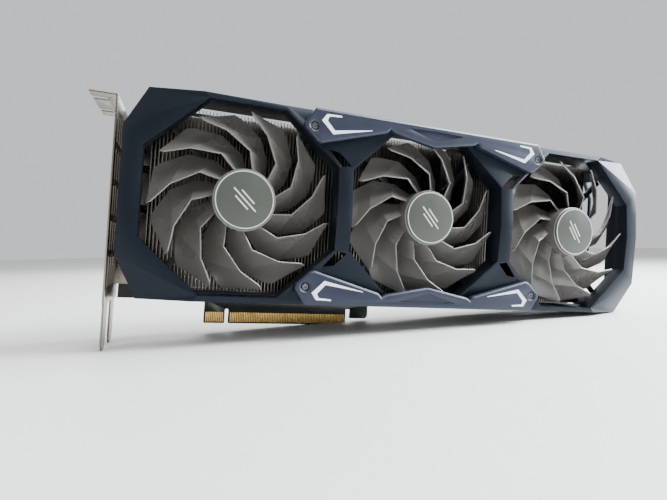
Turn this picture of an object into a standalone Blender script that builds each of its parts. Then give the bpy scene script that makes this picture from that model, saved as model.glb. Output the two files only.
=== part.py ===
"""A long graphics card: three fans in a faceted shroud over a finned cooler, with a two-slot bracket.

The frame: +X runs along the card away from the bracket, the fans face -Y, and +Z is up as the card stands on
its edge contacts. The origin is the centre of the long contact tongue's lower edge. Every piece is drawn from
the bracket's outer face, in "card" lengths, and one empty carries them all to the origin.
"depth" is the distance in front of the middle of the board, so a point at depth d has Y = -d.
"""

import math

import bmesh
import bpy
import numpy as np
from mathutils import Matrix, Vector

MM = 0.001
GAP = 0.3 * MM
BEYOND = 3.0 * MM

# Board and edge connector, as the slot standard gives them
BOARD_THICKNESS = 1.57 * MM
BOARD_FRONT = BOARD_THICKNESS / 2
TONGUE_START = 47.0 * MM
SHORT_TONGUE = 11.65 * MM
KEY_WIDTH = 1.9 * MM
LONG_TONGUE = 71.65 * MM
KEY_TOP = 8.3 * MM
CONTACT_EDGE = 0.7 * MM
CONTACT_RISE = (0.9 * MM, 6.4 * MM)
CONTACT_THICKNESS = 0.2 * MM
HOOK_GAP = 2.8 * MM
HOOK_LENGTH = 11.8 * MM
HOOK_LOW = 4.1 * MM
HOOK_ROOT = 9.6 * MM
BOARD_BOTTOM = 13.0 * MM
BOARD_TOP = 104.0 * MM
BOARD_START = 1.9 * MM
BOARD_END = 248.0 * MM
LONG_START = TONGUE_START + SHORT_TONGUE + KEY_WIDTH
TONGUE_END = LONG_START + LONG_TONGUE
ORIGIN_FROM_BRACKET = LONG_START + LONG_TONGUE / 2
SEAT = BOARD_FRONT + GAP

# Two-slot bracket
BRACKET_THICKNESS = 0.86 * MM
BRACKET_BACK = 2.6 * MM
BRACKET_WIDTH = 38.74 * MM
BRACKET_NEAR = BRACKET_BACK - BRACKET_WIDTH
SLOT_PITCH = 20.32 * MM
TAB_TOP = 111.15 * MM
TAB_LENGTH = 11.43 * MM
BRACKET_HEIGHT = 120.02 * MM
FOOT_WIDTH = 10.19 * MM
FOOT_TIP = TAB_TOP - BRACKET_HEIGHT
FIRST_FOOT = BRACKET_NEAR + 1.5 * MM
FOOT_TAPER = (2.2 * MM, 4.0 * MM)
PLATE_LOW = 13.0 * MM
NOTCH_RADIUS = 2.2 * MM
NOTCH_END = -6.35 * MM
FIRST_NOTCH = BRACKET_BACK - 9.2 * MM
AIR_SLOT = (3.6 * MM, 14.0 * MM)
AIR_SLOT_STEP = (6.4 * MM, 17.2 * MM)

# Display ports, each with its height up the bracket and its width
PORTS = (
    ("lower_display_port", 29.5 * MM, 17.2 * MM),
    ("middle_display_port", 50.5 * MM, 17.2 * MM),
    ("upper_display_port", 71.5 * MM, 17.2 * MM),
    ("hdmi_port", 92.0 * MM, 15.6 * MM),
)
PORT_LENGTH = 18.0 * MM
PORT_THICKNESS = 5.4 * MM

# Power sockets on the top edge
SOCKET_START = 186.0 * MM
SOCKET_PITCH = 23.5 * MM
SOCKET_WIDTH = 21.9 * MM
SOCKET_THICKNESS = 9.6 * MM
SOCKET_RISE = (97.5 * MM, 111.5 * MM)
PIN_FLOOR = 101.0 * MM
PIN_PITCH = (5.1 * MM, 4.4 * MM)
PIN_HALF = 1.75 * MM

# Fans
FAN_PITCH = 100.5 * MM
FIRST_FAN = 60.4 * MM
FAN_HEIGHT = 66.3 * MM
FAN_NAMES = ("left", "middle", "right")
FAN_TURNS = (44.5, 48.5, 57.5)
BLADES = 11
BLADE_TIP = 44.8 * MM
HUB_RADIUS = 15.1 * MM
HUB_FRONT = 47.5 * MM
HUB_BACK = 33.5 * MM
HUB_WALL = 1.3 * MM
HUB_EDGE = 0.8 * MM
CAP_RADIUS = 14.3 * MM
CAP_THICKNESS = 0.7 * MM
SHAFT_RADIUS = 1.2 * MM
BEARING_RADIUS = 2.3 * MM
BEARING_BORE = 1.5 * MM
STATOR_RADIUS = 12.6 * MM
STATOR_BORE = 4.0 * MM
BASE_RADIUS = 16.5 * MM
BASE_PLATE = (28.3 * MM, 30.3 * MM)
BOSS_RADIUS = 3.6 * MM
BOSS_FRONT = 38.0 * MM
ARM_REACH = 52.5 * MM
ARM_HALF_WIDTH = 1.6 * MM
MIDDLE = FIRST_FAN + FAN_PITCH

# Shroud, measured from its own middle: half sizes
HALF_LENGTH = 156.0 * MM
HALF_HEIGHT = 49.6 * MM
WALL = 1.25 * MM
BAR_INSIDE = 46.7 * MM
MIDDLE_INSIDE = 45.8 * MM
OPENING_HALF_HEIGHT = 46.9 * MM
CORNER_RISE = 21.2 * MM
CORNER_RUN = 18.7 * MM
DUCT_BACK = 36.0 * MM
SKIRT_BACK = 7.2 * MM
SKIRT_HALF_HEIGHT = 49.1 * MM
SKIRT_CORNERS = ((155.4, 29.8), (146.2, 49.1))
SKIRT_INSIDE = ((153.8, 29.5), (145.1, 47.5))
WINDOW_DEPTH = (9.0 * MM, 24.0 * MM)
WINDOW_SPANS = ((22 * MM, 96 * MM), (102 * MM, 176 * MM), (240 * MM, 286 * MM))
END_WINDOW_RISE = (-41.0 * MM, 41.0 * MM)
BRACKET_WINDOW_RISE = (-24.8 * MM, 24.8 * MM)

# Trim plates over the webs
TRIM_BACK = 46.3 * MM
TRIM_FRONT = 50.3 * MM
TRIM_SCREW = (68.6 * MM, 40.2 * MM)
TRIM_SEAT = 48.0 * MM
TRIM_HEAD_HOLE = 2.1 * MM
SCREW_HOLE = 1.25 * MM

# Cooler
FIN_PITCH = 3.5 * MM
FIN_THICKNESS = 0.7 * MM
FIN_FRONT = 27.8 * MM
FIN_BASE_BACK = 13.2 * MM
FIN_BASE = 1.2 * MM
FIN_HALF_LENGTH = 45.5 * MM
CHIP = (104.0 * MM, 62.0 * MM)
COLD_PLATE_HALF = (34.0 * MM, 27.0 * MM)
COLD_PLATE_DEPTH = (3.7 * MM, 6.6 * MM)
PIPE_RADIUS = 3.0 * MM
PIPE_DEPTH = 9.95 * MM
PIPE_STEP = 9.0 * MM
PIPE_ENDS = ((24, 284), (16, 276), (28, 262), (28, 262), (16, 276), (24, 284))

# Chips and chokes on the board
PACKAGE_HALF = 16.0 * MM
PACKAGE_THICKNESS = 1.1 * MM
DIE_HALF = 10.0 * MM
DIE_THICKNESS = 0.7 * MM
MEMORY_CHIP = (12.0 * MM, 14.0 * MM)
MEMORY_OUT = 27.0 * MM
MEMORY_STEP = 17.0 * MM
CHOKE_START = (158.0 * MM, 22.0 * MM)
CHOKE_SIZE = 8.0 * MM
CHOKE_STEP = 11.0 * MM
CHOKE_THICKNESS = 4.5 * MM

# Backplate
BACKPLATE_FRONT = -3.8 * MM
BACKPLATE_BACK = -5.0 * MM
BACKPLATE_LOW = 15.0 * MM
BACKPLATE_HIGH = FAN_HEIGHT + 49.3 * MM
BACKPLATE_START = 2.2 * MM
BACKPLATE_CORNER = 8.0 * MM
PLATE_SLOT_START = 256.0 * MM
PLATE_SLOT_PITCH = 8.6 * MM
PLATE_SLOT_WIDTH = 5.0 * MM
PLATE_SLOT_EDGE = 17.0 * MM
COOLER_SCREW_OUT = (38.0 * MM, 31.0 * MM)
COOLER_SCREW_HOLE = 1.7 * MM

FRONT = Matrix(((1, 0, 0, 0), (0, 0, -1, 0), (0, 1, 0, 0), (0, 0, 0, 1)))
SIDE = Matrix(((0, 0, 1, 0), (1, 0, 0, 0), (0, 1, 0, 0), (0, 0, 0, 1)))
PLAN = Matrix.Identity(4)

SHROUD_BLACK = ("shroud_plastic", (0.028, 0.030, 0.036), 0.48, 0.0)
TRIM_GREY = ("trim_plastic", (0.060, 0.060, 0.085), 0.42, 0.0)
BLADE_GREY = ("fan_plastic", (0.16, 0.155, 0.15), 0.35, 0.0)
CAP_GREY = ("cap_film", (0.13, 0.135, 0.13), 0.4, 0.0)
BLACK_PLASTIC = ("black_plastic", (0.012, 0.012, 0.013), 0.5, 0.0)
NICKEL = ("nickel_plate", (0.62, 0.60, 0.57), 0.3, 1.0)
ALUMINIUM = ("fin_aluminium", (0.50, 0.50, 0.50), 0.4, 1.0)
COPPER = ("plated_copper", (0.62, 0.42, 0.32), 0.3, 1.0)
GOLD = ("contact_gold", (0.83, 0.61, 0.25), 0.25, 1.0)
BOARD_BLACK = ("solder_mask", (0.012, 0.014, 0.014), 0.4, 0.0)
SILICON = ("silicon", (0.05, 0.05, 0.06), 0.15, 0.0)
PLATE_BLACK = ("backplate_paint", (0.02, 0.02, 0.023), 0.45, 0.3)
STEEL = ("screw_steel", (0.35, 0.35, 0.36), 0.35, 1.0)


def clear_scene():
    for obj in list(bpy.data.objects):
        bpy.data.objects.remove(obj)
    for collection in list(bpy.data.collections):
        bpy.data.collections.remove(collection)


def new_collection(name):
    collection = bpy.data.collections.new(name)
    bpy.context.scene.collection.children.link(collection)
    return collection


def material(finish):
    name, colour, roughness, metallic = finish
    found = bpy.data.materials.get(name)
    if found:
        return found
    made = bpy.data.materials.new(name)
    made.use_nodes = True
    shader = made.node_tree.nodes["Principled BSDF"]
    shader.inputs["Base Color"].default_value = (*colour, 1)
    shader.inputs["Roughness"].default_value = roughness
    shader.inputs["Metallic"].default_value = metallic
    made.diffuse_color = (*colour, 1)
    return made


def add_object(name, mesh, finish, parent):
    obj = bpy.data.objects.new(name, mesh)
    mesh.materials.clear()
    mesh.materials.append(material(finish))
    parts.objects.link(obj)
    obj.parent = parent
    return obj


def add_cutter(name, mesh):
    obj = bpy.data.objects.new(name, mesh)
    cutters.objects.link(obj)
    obj.parent = card
    obj.hide_render = True
    obj.display_type = "WIRE"
    return obj


def mesh_from(bm, name):
    bmesh.ops.recalc_face_normals(bm, faces=bm.faces)
    mesh = bpy.data.meshes.new(name)
    bm.to_mesh(mesh)
    bm.free()
    return mesh


def box_mesh(name, low, high):
    """A box between two corners given as card X, Y and Z."""
    bm = bmesh.new()
    bmesh.ops.create_cube(bm, size=1)
    low, high = Vector(low), Vector(high)
    size = high - low
    matrix = Matrix.Translation((low + high) / 2) @ Matrix.Diagonal((*size, 1))
    bmesh.ops.transform(bm, matrix=matrix, verts=bm.verts)
    return mesh_from(bm, name)


def depth_box(name, x, z, depth):
    """A box from its ranges in X and Z and in depth before the board."""
    return box_mesh(name, (x[0], -depth[1], z[0]), (x[1], -depth[0], z[1]))


def cylinder_mesh(name, centre, radius, depth, sides=24):
    """A cylinder along Y, from its centre in X and Z and its range of depth."""
    bm = bmesh.new()
    length = depth[1] - depth[0]
    bmesh.ops.create_cone(bm, cap_ends=True, segments=sides, radius1=radius, radius2=radius, depth=length)
    place = Matrix.Translation((centre[0], -(depth[0] + depth[1]) / 2, centre[1]))
    bmesh.ops.transform(bm, matrix=place @ Matrix.Rotation(math.pi / 2, 4, "X"), verts=bm.verts)
    return mesh_from(bm, name)


def evaluated_mesh(obj, name):
    """The object's mesh with its modifiers applied. The object goes."""
    bpy.context.view_layer.update()
    graph = bpy.context.evaluated_depsgraph_get()
    mesh = bpy.data.meshes.new_from_object(obj.evaluated_get(graph))
    mesh.name = name
    bpy.data.objects.remove(obj)
    return mesh


def outline_mesh(name, loops, frame, start, stop):
    """A flat outline with holes, between two places along the frame's third axis."""
    curve = bpy.data.curves.new(name, "CURVE")
    curve.dimensions = "2D"
    curve.fill_mode = "BOTH"
    curve.extrude = (stop - start) / 2
    for points in loops:
        spline = curve.splines.new("POLY")
        spline.points.add(len(points) - 1)
        for point, place in zip(spline.points, points):
            point.co = (*place, 0, 1)
        spline.use_cyclic_u = True
    obj = bpy.data.objects.new(name, curve)
    cutters.objects.link(obj)
    mesh = evaluated_mesh(obj, name)
    bm = bmesh.new()
    bm.from_mesh(mesh)
    bmesh.ops.remove_doubles(bm, verts=bm.verts, dist=0.01 * MM)
    bmesh.ops.transform(bm, matrix=frame @ Matrix.Translation((0, 0, (start + stop) / 2)), verts=bm.verts)
    bpy.data.meshes.remove(mesh)
    return mesh_from(bm, name)


def boolean(obj, other, operation):
    modifier = obj.modifiers.new(other.name, "BOOLEAN")
    modifier.operation = operation
    modifier.object = other
    return modifier


def combined_mesh(name, first, unions=(), cuts=()):
    """One mesh from a first one, with others joined to it and others cut from it."""
    obj = bpy.data.objects.new(name, first)
    cutters.objects.link(obj)
    used = []
    for operation, meshes in (("UNION", unions), ("DIFFERENCE", cuts)):
        for mesh in meshes:
            other = bpy.data.objects.new(mesh.name, mesh)
            cutters.objects.link(other)
            boolean(obj, other, operation)
            used.append(other)
    mesh = evaluated_mesh(obj, name)
    for other in used:
        bpy.data.objects.remove(other)
    return mesh


def smooth(mesh, angle=35):
    mesh.shade_smooth()
    mesh.set_sharp_from_angle(angle=math.radians(angle))
    return mesh


# ---------------------------------------------------------------- shroud


def shroud_quarter():
    """A quarter of the faceted front with its walls and ducts: across, depth and up from the middle."""
    fan = FAN_PITCH
    bar = [
        (fan + BAR_INSIDE, 0, 45.4),
        (fan + BAR_INSIDE, CORNER_RISE, 44.0),
        (fan + CORNER_RUN, OPENING_HALF_HEIGHT, 45.6),
        (fan - CORNER_RUN, OPENING_HALF_HEIGHT, 44.4),
        (fan - BAR_INSIDE, CORNER_RISE, 47.4),
        (fan - BAR_INSIDE, 0, 49.0),
    ]
    middle = [
        (MIDDLE_INSIDE, 0, 49.0),
        (MIDDLE_INSIDE, CORNER_RISE, 47.4),
        (CORNER_RUN, OPENING_HALF_HEIGHT, 44.4),
        (0, OPENING_HALF_HEIGHT, 44.4),
    ]
    outer = [
        (HALF_LENGTH, 0, 44.6),
        (HALF_LENGTH, 30.0 * MM, 43.2),
        (146.8 * MM, HALF_HEIGHT, 38.5),
        (122.0 * MM, HALF_HEIGHT, 45.2),
        (fan - CORNER_RUN, HALF_HEIGHT, 44.0),
        (CORNER_RUN, HALF_HEIGHT, 44.0),
        (0, HALF_HEIGHT, 44.0),
    ]
    bm = bmesh.new()

    def row(points, depth=None):
        return [bm.verts.new((x, -(depth if depth else d * MM), z)) for x, z, d in points]

    def wall(points, fronts):
        backs = row(points, DUCT_BACK)
        for here in range(len(points) - 1):
            bm.faces.new((fronts[here], fronts[here + 1], backs[here + 1], backs[here]))

    end, mid, rim = row(bar), row(middle), row(outer)
    bm.faces.new((rim[0], rim[1], end[1], end[0]))
    bm.faces.new((rim[1], end[2], end[1]))
    bm.faces.new((rim[1], rim[2], end[2]))
    bm.faces.new((rim[2], rim[3], end[2]))
    bm.faces.new((rim[3], rim[4], end[3], end[2]))
    bm.faces.new((end[5], end[4], mid[1], mid[0]))
    bm.faces.new((end[4], end[3], rim[4], rim[5], mid[2], mid[1]))
    bm.faces.new((rim[5], rim[6], mid[3], mid[2]))
    wall(bar, end)
    wall(middle, mid)
    wall(outer, rim)
    return mesh_from(bm, "shroud_front")


def shroud_front():
    """The quarter, mirrored both ways and given its wall thickness."""
    obj = bpy.data.objects.new("shroud_front", shroud_quarter())
    cutters.objects.link(obj)
    mirror = obj.modifiers.new("Mirror", "MIRROR")
    mirror.use_axis = (True, False, True)
    mirror.merge_threshold = 0.01 * MM
    mesh = evaluated_mesh(obj, "shroud_front")
    bm = bmesh.new()
    bm.from_mesh(mesh)
    bmesh.ops.recalc_face_normals(bm, faces=bm.faces)
    forward = sum(face.normal.y * face.calc_area() for face in bm.faces)
    if forward > 0:
        bmesh.ops.reverse_faces(bm, faces=bm.faces)
    bm.to_mesh(mesh)
    bm.free()
    obj = bpy.data.objects.new("shroud_front", mesh)
    cutters.objects.link(obj)
    solid = obj.modifiers.new("Solidify", "SOLIDIFY")
    solid.thickness = WALL
    solid.offset = -1
    solid.use_even_offset = True
    mesh = evaluated_mesh(obj, "shroud_front")
    mesh.transform(Matrix.Translation((MIDDLE, 0, FAN_HEIGHT)))
    return mesh


def trim_screw_place(sign, up):
    return MIDDLE + sign * TRIM_SCREW[0], FAN_HEIGHT + up * TRIM_SCREW[1]


def octagon(corners):
    """A loop about the shroud's middle, in card X and Z, from the corners of one quarter."""
    quarter = [(x * MM, z * MM) for x, z in corners]
    right = [*((x, -z) for x, z in reversed(quarter)), *quarter]
    loop = [*right, *((-x, z) for x, z in reversed(right))]
    return [(MIDDLE + x, FAN_HEIGHT + z) for x, z in loop]


def make_shroud():
    """The front, with the skirt behind it that goes round the cooler."""
    top, low = FAN_HEIGHT + SKIRT_HALF_HEIGHT, FAN_HEIGHT - SKIRT_HALF_HEIGHT
    power = (SOCKET_START - 2 * MM, SOCKET_START + 48 * MM)
    start, stop = MIDDLE - HALF_LENGTH, MIDDLE + HALF_LENGTH
    ends = (("bracket_window", (start - BEYOND, start + BEYOND), BRACKET_WINDOW_RISE),
            ("end_window", (stop - 5 * BEYOND, stop + BEYOND), END_WINDOW_RISE))
    cuts = [depth_box("power_window", power, (top - BEYOND, top + BEYOND), (SKIRT_BACK - BEYOND, 16 * MM))]
    for name, span, (under, over) in ends:
        cuts.append(depth_box(name, span, (FAN_HEIGHT + under, FAN_HEIGHT + over), WINDOW_DEPTH))
    for name, z in (("top", top), ("bottom", low)):
        for span in WINDOW_SPANS:
            cuts.append(depth_box(f"{name}_window", span, (z - BEYOND, z + BEYOND), WINDOW_DEPTH))
    for sign in (-1, 1):
        for up in (-1, 1):
            centre = trim_screw_place(sign, up)
            cuts.append(cylinder_mesh("trim_screw_hole", centre, SCREW_HOLE, (DUCT_BACK, TRIM_FRONT), 16))
    loops = [octagon(SKIRT_CORNERS), octagon(SKIRT_INSIDE)]
    skirt = outline_mesh("skirt", loops, FRONT, SKIRT_BACK, DUCT_BACK + 2 * MM)
    mesh = combined_mesh("shroud", shroud_front(), unions=[skirt], cuts=cuts)
    add_object("shroud", mesh, SHROUD_BLACK, card)


def trim_outline(up):
    """The trim plate's edge: a long bow-tie whose wings end along the fan openings' corners."""
    half = [
        (0, 38.1),
        (24.7, 42.8),
        (27.0, 44.2),
        (29.0, 42.1),
        (64.4, 32.0),
        (66.6, 32.8),
        (73.2, 39.0),
        (73.7, 41.2),
        (68.5, 49.2),
    ]
    places = [(x * MM, z * MM) for x, z in half]
    loop = places + [(-x, z) for x, z in reversed(places[1:])]
    return [(MIDDLE + x, FAN_HEIGHT + up * z) for x, z in loop]


def stepped_hole():
    """The trim's screw hole and its counterbore, as radius and depth."""
    front, back = TRIM_FRONT + BEYOND, TRIM_BACK - BEYOND
    return [
        (0, front),
        (TRIM_HEAD_HOLE, front),
        (TRIM_HEAD_HOLE, TRIM_SEAT),
        (SCREW_HOLE, TRIM_SEAT),
        (SCREW_HOLE, back),
        (0, back),
    ]


def make_trims():
    for name, up in (("upper_trim", 1), ("lower_trim", -1)):
        cuts = []
        for side, sign in (("left", -1), ("right", 1)):
            centre = trim_screw_place(sign, up)
            hole = turned_mesh("stepped_hole", stepped_hole(), 20)
            hole.transform(Matrix.Rotation(math.pi / 2, 4, "X") @ Matrix.Rotation(0.1, 4, "Z"))
            hole.transform(Matrix.Translation((centre[0], 0, centre[1])))
            cuts.append(hole)
            screw = turned_screw(f"{name}_{side}_screw", 1.75 * MM, 1.3 * MM, 0.9 * MM, 6.5 * MM)
            place = Matrix.Translation((centre[0], -(TRIM_SEAT + GAP), centre[1]))
            screw.transform(place @ Matrix.Rotation(math.pi / 2, 4, "X"))
            add_object(f"{name}_{side}_screw", smooth(screw), STEEL, card)
        plate = outline_mesh(name, [trim_outline(up)], FRONT, TRIM_BACK, TRIM_FRONT)
        add_object(name, combined_mesh(name, plate, cuts=cuts), TRIM_GREY, card)


# ---------------------------------------------------------------- turned pieces


def turned_mesh(name, profile, sides):
    """A profile of (radius, height) points, top to bottom down its outer side, turned about Z."""
    mesh = bpy.data.meshes.new(name)
    places = [(radius, 0, height) for radius, height in profile]
    mesh.from_pydata(places, [(i, i + 1) for i in range(len(places) - 1)], [])
    obj = bpy.data.objects.new(name, mesh)
    cutters.objects.link(obj)
    screw = obj.modifiers.new("Screw", "SCREW")
    screw.axis = "Z"
    screw.steps = sides
    screw.render_steps = sides
    screw.use_merge_vertices = True
    screw.merge_threshold = 0.01 * MM
    made = evaluated_mesh(obj, name)
    bm = bmesh.new()
    bm.from_mesh(made)
    bmesh.ops.remove_doubles(bm, verts=bm.verts, dist=0.01 * MM)
    bpy.data.meshes.remove(made)
    return mesh_from(bm, name)


def turned_screw(name, head, head_height, shank, length):
    """A screw along Z with its head's seat at zero, its head above and its shank below."""
    edge = 0.3 * MM
    profile = [
        (0, head_height),
        (head - edge, head_height),
        (head, head_height - edge),
        (head, 0),
        (shank, 0),
        (shank, edge - length),
        (shank - edge, -length),
        (0, -length),
    ]
    return turned_mesh(name, profile, 16)


# ---------------------------------------------------------------- fans


def blade_mesh():
    """One sickle blade about the fan's axis: swept forward and folded, its leading edge in front."""
    radii = np.array([14.4, 19.0, 23.6, 33.5, 40.5, 44.8])
    leading = np.interp(radii, [14.4, 15.2, 23.6, 33.5, 44.8], [-1.0, 0, 9.5, 27.0, 47.0])
    trailing = np.interp(radii, [14.4, 15.2, 29.5, 41.4, 44.8], [-29, -28, -9, 12, 19])
    backs = np.interp(radii, [14.4, 20.0], [35.4, 33.0])
    fronts = np.interp(radii, [14.4, 23.6, 44.8], [43.2, 45.2, 44.4])
    across = np.linspace(0, 1, 4)
    thickness = 1.1
    bm = bmesh.new()
    sheets = []
    for side in (0, 1):
        rows = []
        for radius, lead, trail, back, front in zip(radii, leading, trailing, backs, fronts):
            row = []
            for share in across:
                angle = math.radians(trail + (lead - trail) * share)
                rise = back + (front - back) * (0.65 * share + 0.35 * share**2)
                depth = rise - side * thickness
                x, z = radius * math.cos(angle), radius * math.sin(angle)
                row.append(bm.verts.new((x * MM, -depth * MM, z * MM)))
            rows.append(row)
        sheets.append(rows)
    last_row, last = len(radii) - 1, len(across) - 1
    for rows in sheets:
        for i in range(last_row):
            for j in range(last):
                bm.faces.new((rows[i][j], rows[i + 1][j], rows[i + 1][j + 1], rows[i][j + 1]))
    upper, lower = sheets
    rim = [(i, 0) for i in range(last_row)] + [(last_row, j) for j in range(last)]
    rim += [(i, last) for i in range(last_row, 0, -1)] + [(0, j) for j in range(last, 0, -1)]
    for (a, b), (c, d) in zip(rim, rim[1:] + rim[:1]):
        bm.faces.new((upper[a][b], upper[c][d], lower[c][d], lower[a][b]))
    return mesh_from(bm, "blade")


def rotor_mesh():
    """Hub cup and blades in one, about the fan's axis."""
    floor = HUB_FRONT - 2 * HUB_WALL
    socket, socket_back = SHAFT_RADIUS + MM, floor - 2.5 * MM
    profile = [
        (0, HUB_FRONT),
        (HUB_RADIUS - HUB_EDGE, HUB_FRONT),
        (HUB_RADIUS, HUB_FRONT - HUB_EDGE),
        (HUB_RADIUS, HUB_BACK),
        (HUB_RADIUS - HUB_WALL, HUB_BACK),
        (HUB_RADIUS - HUB_WALL, floor),
        (socket, floor),
        (socket, socket_back),
        (0, socket_back),
    ]
    hub = turned_mesh("hub", profile, 33)
    hub.transform(Matrix.Rotation(math.pi / 2, 4, "X"))
    blades = []
    for number in range(BLADES):
        blade = blade_mesh()
        blade.transform(Matrix.Rotation(-2 * math.pi * number / BLADES, 4, "Y"))
        blades.append(blade)
    return smooth(combined_mesh("fan_rotor", hub, unions=blades))


def cap_mesh():
    """The hub's front disc, with a bevelled edge."""
    edge = 0.4 * MM
    profile = [
        (0, CAP_THICKNESS),
        (CAP_RADIUS - edge, CAP_THICKNESS),
        (CAP_RADIUS, CAP_THICKNESS - edge),
        (CAP_RADIUS, 0),
        (0, 0),
    ]
    cap = turned_mesh("cap", profile, 36)
    cap.transform(Matrix.Translation((0, -(HUB_FRONT + 0.2 * MM), 0)) @ Matrix.Rotation(math.pi / 2, 4, "X"))
    return cap


def motor_base_mesh(name):
    """The fan's fixed plate behind the rotor, with its bearing boss and four arms to the shroud's ducts."""
    back, front = BASE_PLATE
    disc = cylinder_mesh("disc", (0, 0), BASE_RADIUS, BASE_PLATE, 32)
    unions = [cylinder_mesh("boss", (0, 0), BOSS_RADIUS, (back, BOSS_FRONT), 16)]
    for corner in range(4):
        reach, width = (BOSS_RADIUS + BASE_RADIUS / 2, ARM_REACH), (-ARM_HALF_WIDTH, ARM_HALF_WIDTH)
        arm = depth_box("arm", reach, width, (back + 0.2 * MM, front - 0.2 * MM))
        arm.transform(Matrix.Rotation(-math.radians(45 + 90 * corner), 4, "Y"))
        unions.append(arm)
    bore = cylinder_mesh("bore", (0, 0), BEARING_RADIUS + GAP, (back - BEYOND, BOSS_FRONT + BEYOND), 16)
    return combined_mesh(name, disc, unions=unions, cuts=[bore])


def sleeve_mesh(name, centre, radius, bore, depth, sides):
    outer = cylinder_mesh(name, centre, radius, depth, sides)
    hole = cylinder_mesh(f"{name}_bore", centre, bore, (depth[0] - BEYOND, depth[1] + BEYOND), 16)
    return smooth(combined_mesh(name, outer, cuts=[hole]))


def make_fans():
    rotor = rotor_mesh()
    for number, (name, turn) in enumerate(zip(FAN_NAMES, FAN_TURNS)):
        x = FIRST_FAN + number * FAN_PITCH
        centre = (x, FAN_HEIGHT)
        axis = bpy.data.objects.new(f"{name}_fan_axis", None)
        parts.objects.link(axis)
        axis.parent = card
        axis.location = (x, 0, FAN_HEIGHT)
        axis.rotation_euler = (0, -math.radians(turn), 0)
        add_object(f"{name}_fan_rotor", rotor.copy(), BLADE_GREY, axis)
        add_object(f"{name}_fan_cap", smooth(cap_mesh()), CAP_GREY, axis)
        shaft = cylinder_mesh("shaft", (0, 0), SHAFT_RADIUS, (BASE_PLATE[0] + 0.5 * MM, 42.0 * MM), 16)
        add_object(f"{name}_fan_shaft", smooth(shaft), STEEL, axis)
        sleeve = (BASE_PLATE[0] + GAP, BOSS_FRONT - 0.6 * MM)
        bearing = sleeve_mesh("bearing", centre, BEARING_RADIUS, BEARING_BORE, sleeve, 16)
        add_object(f"{name}_fan_bearing", bearing, COPPER, card)
        span = (BASE_PLATE[1] + 0.6 * MM, 41.5 * MM)
        stator = sleeve_mesh("stator", centre, STATOR_RADIUS, STATOR_BORE, span, 24)
        add_object(f"{name}_fan_stator", stator, COPPER, card)
        base = motor_base_mesh("motor_base")
        base.transform(Matrix.Translation((x, 0, FAN_HEIGHT)))
        add_object(f"{name}_motor_base", smooth(base), BLACK_PLASTIC, card)


# ---------------------------------------------------------------- cooler


def fin_stack(name, start, stop, low, high):
    """Thin fins across the card, on the plate that joins them."""
    count = round((stop - start - FIN_THICKNESS) / FIN_PITCH)
    pitch = (stop - start - FIN_THICKNESS) / count
    root = FIN_BASE_BACK + FIN_BASE
    points = [(stop, -FIN_BASE_BACK), (start, -FIN_BASE_BACK)]
    for number in range(count + 1):
        x = start + number * pitch
        points += [(x, -FIN_FRONT), (x + FIN_THICKNESS, -FIN_FRONT)]
        if number < count:
            points += [(x + FIN_THICKNESS, -root), (x + pitch, -root)]
    mesh = outline_mesh(name, [points], PLAN, low, high)
    add_object(name, mesh, ALUMINIUM, card)


def make_cooler():
    low, high = FAN_HEIGHT - FIN_HALF_LENGTH, FAN_HEIGHT + FIN_HALF_LENGTH
    fin_stack("main_fin_stack", 16 * MM, 178 * MM, low, high)
    fin_stack("end_fin_stack", 184 * MM, 288 * MM, low, high)
    x, z = CHIP
    wide, tall = COLD_PLATE_HALF
    plate = depth_box("cold_plate", (x - wide, x + wide), (z - tall, z + tall), COLD_PLATE_DEPTH)
    add_object("cold_plate", plate, COPPER, card)
    for number, (start, stop) in enumerate(PIPE_ENDS):
        height = z + (number - 2.5) * PIPE_STEP
        curve = bpy.data.curves.new("heat_pipe", "CURVE")
        curve.dimensions = "3D"
        curve.bevel_depth = PIPE_RADIUS
        curve.bevel_resolution = 2
        curve.use_fill_caps = True
        spline = curve.splines.new("POLY")
        spline.points.add(1)
        for point, along in zip(spline.points, (start, stop)):
            point.co = (along * MM, -PIPE_DEPTH, height, 1)
        pipe = bpy.data.objects.new(f"heat_pipe_{number + 1}", curve)
        curve.materials.append(material(COPPER))
        parts.objects.link(pipe)
        pipe.parent = card


# ---------------------------------------------------------------- board


def rounded(centre, radius, start, stop, steps):
    """Points of an arc, angles in degrees."""
    angles = np.radians(np.linspace(start, stop, steps))
    return [(centre[0] + radius * math.cos(a), centre[1] + radius * math.sin(a)) for a in angles]


def board_outline():
    bevel = 0.5 * MM
    short_end = TONGUE_START + SHORT_TONGUE
    slot_radius = KEY_WIDTH / 2
    hook_start = TONGUE_END + HOOK_GAP
    hook_end = hook_start + HOOK_LENGTH
    outline = [(BOARD_START, BOARD_BOTTOM), (TONGUE_START, BOARD_BOTTOM)]
    outline += [(TONGUE_START, bevel), (TONGUE_START + bevel, 0), (short_end - bevel, 0), (short_end, bevel)]
    outline += rounded((short_end + slot_radius, KEY_TOP - slot_radius), slot_radius, 180, 0, 7)
    outline += [(LONG_START, bevel), (LONG_START + bevel, 0), (TONGUE_END - bevel, 0), (TONGUE_END, bevel)]
    outline += [(TONGUE_END, HOOK_ROOT), (hook_start, HOOK_ROOT), (hook_start, HOOK_LOW)]
    outline += [(hook_end - 3 * bevel, HOOK_LOW), (hook_end, HOOK_LOW + 3 * bevel), (hook_end, BOARD_BOTTOM)]
    outline += [(BOARD_END, BOARD_BOTTOM), (BOARD_END, BOARD_TOP), (BOARD_START, BOARD_TOP)]
    return outline


def square(name, centre, half, depth):
    """A flat block from its centre in X and Z, its half sizes there and its range of depth."""
    x, z = centre
    wide, tall = half
    return depth_box(name, (x - wide, x + wide), (z - tall, z + tall), depth)


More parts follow.
